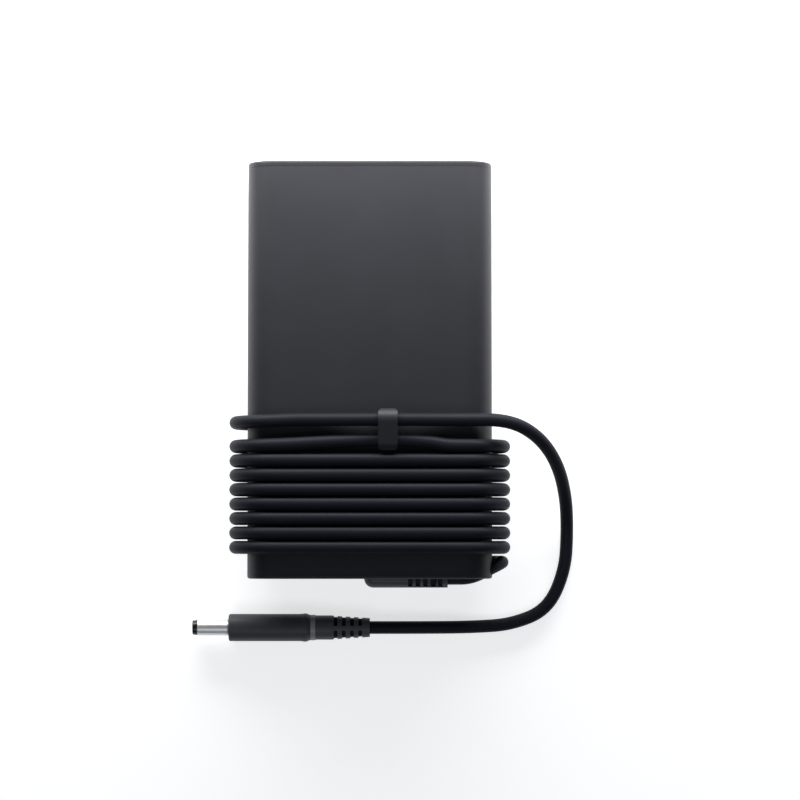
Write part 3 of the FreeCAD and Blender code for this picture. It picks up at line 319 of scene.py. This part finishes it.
# %% finishes of the other solids
finishes = {
    "plug_contact": brass, "inlet_live_pins": brass, "inlet_earth_pin": brass, "circuit_board": board_green,
    "plug_light_board": board_green, "insulating_sheet": sheet_film, "fuse": fuse_white,
    "x_capacitor": capacitor_yellow, "y_capacitors": capacitor_yellow, "line_choke_core": ferrite,
    "boost_choke_core": ferrite, "transformer_core": ferrite, "line_choke_windings": copper,
    "inlet_wires": copper, "output_wires": copper,
    "bridge_rectifier": epoxy, "power_transistors": epoxy, "output_rectifiers": epoxy,
    "transformer_bobbin": epoxy, "primary_heat_spreader": steel, "secondary_heat_spreader": steel,
    "bulk_capacitors": steel, "output_capacitors": steel, "thermal_pad": pad_blue,
}
for node, material in finishes.items():
    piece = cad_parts[node]
    for place in piece.material_slots:
        place.material = material
print("finished in place", len(finishes))

# %% [markdown]
# The transformer and the boost choke are wound with enamelled copper wire, in even layers from the bore
# outwards. A turn that repeats by a rule suits Geometry Nodes: one spiral of turns is drawn as a curve,
# copied once for each layer and drawn in to that layer's radius, and only then is the wire's thickness put
# on it, so that the wire stays equally thick in every layer. The sizes are inputs with names, and so one
# tree makes both coils.


# %% tree of a wound coil
def wound_coil_tree():
    tree = bpy.data.node_groups.new("wound coil", "GeometryNodeTree")
    for label, kind in (("Outer Radius", "Float"), ("Height", "Float"), ("Wire", "Float"), ("Turns", "Float"),
                        ("Layers", "Int"), ("Material", "Material")):
        tree.interface.new_socket(label, in_out="INPUT", socket_type="NodeSocket" + kind)
    tree.interface.new_socket("Geometry", in_out="OUTPUT", socket_type="NodeSocketGeometry")
    given, result = tree.nodes.new("NodeGroupInput"), tree.nodes.new("NodeGroupOutput")
    link = tree.links.new

    def sum_of(operation, first, second, third=None):
        node = add(tree, "ShaderNodeMath", operation=operation)
        for socket, source in zip(node.inputs, (first, second, third)):
            if hasattr(source, "links"):
                link(source, socket)
            elif source is not None:
                socket.default_value = source
        return node.outputs[0]

    wire = given.outputs["Wire"]
    outer_line = sum_of("MULTIPLY_ADD", wire, -0.5, given.outputs["Outer Radius"])
    turns = add(tree, "GeometryNodeCurveSpiral", Resolution=32)
    link(given.outputs["Turns"], turns.inputs["Rotations"])
    link(outer_line, turns.inputs["Start Radius"])
    link(outer_line, turns.inputs["End Radius"])
    link(sum_of("SUBTRACT", given.outputs["Height"], wire), turns.inputs["Height"])

    layers = add(tree, "GeometryNodeMeshLine", mode="OFFSET")
    link(given.outputs["Layers"], layers.inputs["Count"])
    layers.inputs["Offset"].default_value = (0.0, 0.0, 0.0)
    share = sum_of("DIVIDE", sum_of("MULTIPLY", wire, -1.0), outer_line)
    drawn_in = sum_of("MULTIPLY_ADD", add(tree, "GeometryNodeInputIndex").outputs["Index"], share, 1.0)
    scale = add(tree, "ShaderNodeCombineXYZ", Z=1.0)
    link(drawn_in, scale.inputs["X"])
    link(drawn_in, scale.inputs["Y"])
    copies = add(tree, "GeometryNodeInstanceOnPoints")
    link(layers.outputs["Mesh"], copies.inputs["Points"])
    link(turns.outputs["Curve"], copies.inputs["Instance"])
    link(scale.outputs["Vector"], copies.inputs["Scale"])

    real = add(tree, "GeometryNodeRealizeInstances")
    link(copies.outputs["Instances"], real.inputs["Geometry"])
    round_wire = add(tree, "GeometryNodeCurvePrimitiveCircle", Resolution=6)
    link(sum_of("MULTIPLY", wire, 0.5), round_wire.inputs["Radius"])
    swept = add(tree, "GeometryNodeCurveToMesh")
    swept.inputs["Fill Caps"].default_value = True
    link(real.outputs["Geometry"], swept.inputs["Curve"])
    link(round_wire.outputs["Curve"], swept.inputs["Profile Curve"])
    finish = add(tree, "GeometryNodeSetMaterial")
    link(swept.outputs["Mesh"], finish.inputs["Geometry"])
    link(given.outputs["Material"], finish.inputs["Material"])
    link(finish.outputs["Geometry"], result.inputs["Geometry"])
    return tree


COIL = wound_coil_tree()
print("tree of a wound coil", len(COIL.nodes), "nodes")

# %% [markdown]
# Both coils take their outer size from the solid that they stand for. The wire's thickness sets how many
# turns fit in the height and how many layers fit between the bore and the outside. The result is made a
# plain mesh, leant with the case and put in its place, so that its object can stay at the origin.


# %% wound coils
def wound_coil(node, name, bore, wire):
    low, high = (Vector(corner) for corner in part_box(node))
    outer = (high.x - low.x) / 2
    height = (high.z - low.z - 2 * outer * math.sin(tilt)) / math.cos(tilt)
    sizes = {"Outer Radius": outer, "Height": height, "Wire": wire * MM,
             "Turns": float(math.floor(height / (wire * MM)) - 1),
             "Layers": math.floor((outer / MM - bore) / wire), "Material": copper}
    piece = bpy.data.objects.new(name, bpy.data.meshes.new(name))
    bpy.context.collection.objects.link(piece)
    winder = piece.modifiers.new("wound coil", "NODES")
    winder.node_group = COIL
    for socket in COIL.interface.items_tree:
        if socket.name in sizes:
            winder[socket.identifier] = sizes[socket.name]
    ready = bpy.data.meshes.new_from_object(piece.evaluated_get(bpy.context.evaluated_depsgraph_get()))
    piece.modifiers.clear()
    ready.transform(Matrix.Translation((low + high) / 2) @ Matrix.Rotation(-tilt, 4, "X")
                    @ Matrix.Translation((0.0, 0.0, (wire * MM - height) / 2)))
    ready.name = name
    ready.shade_smooth()
    piece.data = ready
    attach(piece, ADAPTER)
    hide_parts(node)
    print(name, "layers", sizes["Layers"], "turns in each", sizes["Turns"], "faces", len(ready.polygons))
    return piece


wound_coil("transformer_winding", "transformer_coil", 5.6, 0.6)
wound_coil("boost_choke_coil", "choke_coil", 3.6, 0.8)

# %% [markdown]
# The output cord: 2.1 m of round cord that leaves a small boot, is wound nine times round the end of the
# case and then runs free in one loop to its plug. It is one flexible thing, so it is one smooth NURBS
# spline. Each turn has twelve control points: four round each side of the case and two on each long pass.
# A quadratic spline touches the middle of every leg between its points, so the points of a bend lie a
# little outside it. The free part is a few points placed along the loop in the photograph.

# %% cord route
half_leg = math.radians(22.5)
reach = 1.0 / math.cos(half_leg)
lead = math.tan(half_leg)
left_bend_back, left_bend_forward = 0.54, 0.45
middle_level = (front_level + back_level) / 2
pass_end = turn_centre - turn_radius * lead
corner_across, corner_along = 45.65, -65.9


def side_bend(side, along, first_angle):
    """Four points round one side of the case, each 45 degrees on from the one before."""
    points = []
    for step in range(4):
        angle = math.radians(first_angle + 45.0 * step)
        points.append((side * turn_centre + turn_radius * reach * math.sin(angle), along,
                       middle_level + turn_radius * reach * math.cos(angle)))
    return points


wound = [(boot_exit - 1.0, boot_along, boot_level), (boot_exit + 1.3, boot_along, boot_level),
         (34.55, boot_along, boot_level), (40.91, -68.22, boot_level), (corner_across, corner_along, 10.18),
         (corner_across, corner_along, 2.72), (40.38, corner_along, back_level)]
turns = [first_turn + i * cord_pitch for i in range(front_turns)] + [last_turn]
before = start_turn
for number, turn in enumerate(turns):
    side = turn - left_bend_back if number == front_turns else turn
    wound += [(pass_end, before, back_level), (-pass_end, side, back_level)]
    wound += side_bend(-1, side, 202.5)
    wound.append((-pass_end, turn, front_level))
    if number == front_turns - 1:
        wound[-1] = (-pass_end, turn + left_bend_forward, front_level)
        wound += [(-13.0, turn + 1.2, front_level), (1.0, turn + second_bow, front_level),
                  (11.6, turn + second_bow, front_level), (22.0, turn + 1.0, front_level)]
    if number == front_turns:
        wound += [(bow_centre - bow_half, turn, front_level), (0.0, turn, eye_level), (12.6, turn, eye_level)]
        continue
    wound.append((pass_end, turn, front_level))
    wound += side_bend(1, turn, 22.5)
    before = turn

free = [(0.0313, -0.01676, 0.0298), (0.0475, -0.01676, 0.0298),
        (0.0578, -0.0224, 0.0252), (0.0646, -0.0318, 0.0172), (0.0680, -0.0436, 0.0082),
        (0.0688, -0.0560, 0.00225), (0.0680, -0.0696, 0.00225), (0.0620, -0.0832, 0.00225),
        (0.0494, -0.0884, 0.00225), (0.0364, -0.0893, 0.00225), (0.0209, -0.0893, 0.00497),
        (-0.0001, -0.0893, 0.00497)]
route = [on_table(*point) for point in wound] + [Vector(point) for point in free]
# The cord's line stays this high, so that its underside is pressed 0.2 mm flat on the table
pressed = 2.05 * MM
for place in route:
    place.z = max(place.z, pressed)
print("control points of the cord", len(route))

# %% [markdown]
# The route is now given to one curve with a round bevel. Its order of three and its clamped ends are set
# after the points are there, because set before, they would be lost and the line would be straight runs.

# %% cord
cord_curve = bpy.data.curves.new("output_cord", "CURVE")
cord_curve.dimensions = "3D"
cord_curve.resolution_u = 8
cord_curve.bevel_depth = cord_radius * MM
cord_curve.bevel_resolution = 7
cord_curve.use_fill_caps = True
line = cord_curve.splines.new("NURBS")
line.points.add(len(route) - 1)
for point, place in zip(line.points, route):
    point.co = (*place, 1.0)
line.order_u = 3
line.use_endpoint_u = True
cord_curve.materials.append(cord_black)
output_cord = bpy.data.objects.new("output_cord", cord_curve)
bpy.context.collection.objects.link(output_cord)
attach(output_cord, ADAPTER)
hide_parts("cord_winding", "cord_free")
finished_scene = bpy.context.evaluated_depsgraph_get()
line_mesh = bpy.data.meshes.new_from_object(output_cord.evaluated_get(finished_scene))
print("cord faces", len(line_mesh.polygons))
bpy.data.meshes.remove(line_mesh)

# %% [markdown]
# The table is a plain pale sheet. For the camera, and for what polished metal and clear plastic show of
# it, part of its paleness is its own light, so that the background is near white while the lamps stay
# low enough for black plastic to look black. The rest is lit by the lamps, and keeps the soft shadow.

# %% table
table_mesh = bpy.data.meshes.new("table")
half = 1.5
corners = [(-half, -half, 0), (half, -half, 0), (half, half, 0), (-half, half, 0)]
table_mesh.from_pydata(corners, [], [(0, 1, 2, 3)])
table = bpy.data.objects.new("table", table_mesh)
bpy.context.collection.objects.link(table)
table_paint = bpy.data.materials.new("table paint")
table_paint.use_nodes = True
paint_tree = table_paint.node_tree
paint = paint_tree.nodes["Principled BSDF"]
paint.inputs["Base Color"].default_value = (0.85, 0.855, 0.87, 1.0)
paint.inputs["Roughness"].default_value = 0.8
paint.inputs["Emission Color"].default_value = (1.0, 1.0, 1.0, 1.0)
rays = add(paint_tree, "ShaderNodeLightPath")
shown = add(paint_tree, "ShaderNodeMath", operation="MAXIMUM")
shown_too = add(paint_tree, "ShaderNodeMath", operation="MAXIMUM")
own_light = 0.68
level = add(paint_tree, "ShaderNodeMath", operation="MULTIPLY")
level.inputs[1].default_value = own_light
paint_tree.links.new(rays.outputs["Is Camera Ray"], shown.inputs[0])
paint_tree.links.new(rays.outputs["Is Glossy Ray"], shown.inputs[1])
paint_tree.links.new(shown.outputs[0], shown_too.inputs[0])
paint_tree.links.new(rays.outputs["Is Transmission Ray"], shown_too.inputs[1])
paint_tree.links.new(shown_too.outputs[0], level.inputs[0])
paint_tree.links.new(level.outputs[0], paint.inputs["Emission Strength"])
table_mesh.materials.append(table_paint)

# %% [markdown]
# The light comes from beyond the far end of the case. A low soft panel stands close by there, so that the
# face falls from bright to dark along its length and each turn of cord has a highlight on its far side. A
# weaker panel at the near end gives the second, fainter highlight, and a high one fills the rest.


# %% lights
def soft_panel(name, place, aim, size, power, tone=(1.0, 1.0, 1.0)):
    panel = bpy.data.lights.new(name, "AREA")
    panel.shape = "RECTANGLE"
    panel.size, panel.size_y = size
    panel.energy = power
    panel.color = tone
    lamp = bpy.data.objects.new(name, panel)
    lamp.location = place
    lamp.rotation_euler = (Vector(aim) - Vector(place)).to_track_quat("-Z", "Y").to_euler()
    bpy.context.collection.objects.link(lamp)
    return lamp


soft_panel("far panel", (0.0, 0.152, 0.078), (0.0, 0.05, 0.01), (0.42, 0.06), 1.22)
soft_panel("near panel", (-0.06, -0.42, 0.62), (-0.02, -0.09, 0.0), (0.7, 0.3), 0.8, (0.90, 0.94, 1.0))
soft_panel("high panel", (0.0, 1.0, 1.1), (0.0, 0.0, 0.0), (1.2, 0.6), 0.3)
world = bpy.data.worlds.new("studio")
world.use_nodes = True
world.node_tree.nodes["Background"].inputs["Color"].default_value = (0.80, 0.88, 1.0, 1.0)
world.node_tree.nodes["Background"].inputs["Strength"].default_value = 0.075
bpy.context.scene.world = world
bpy.context.scene.view_settings.view_transform = "Standard"
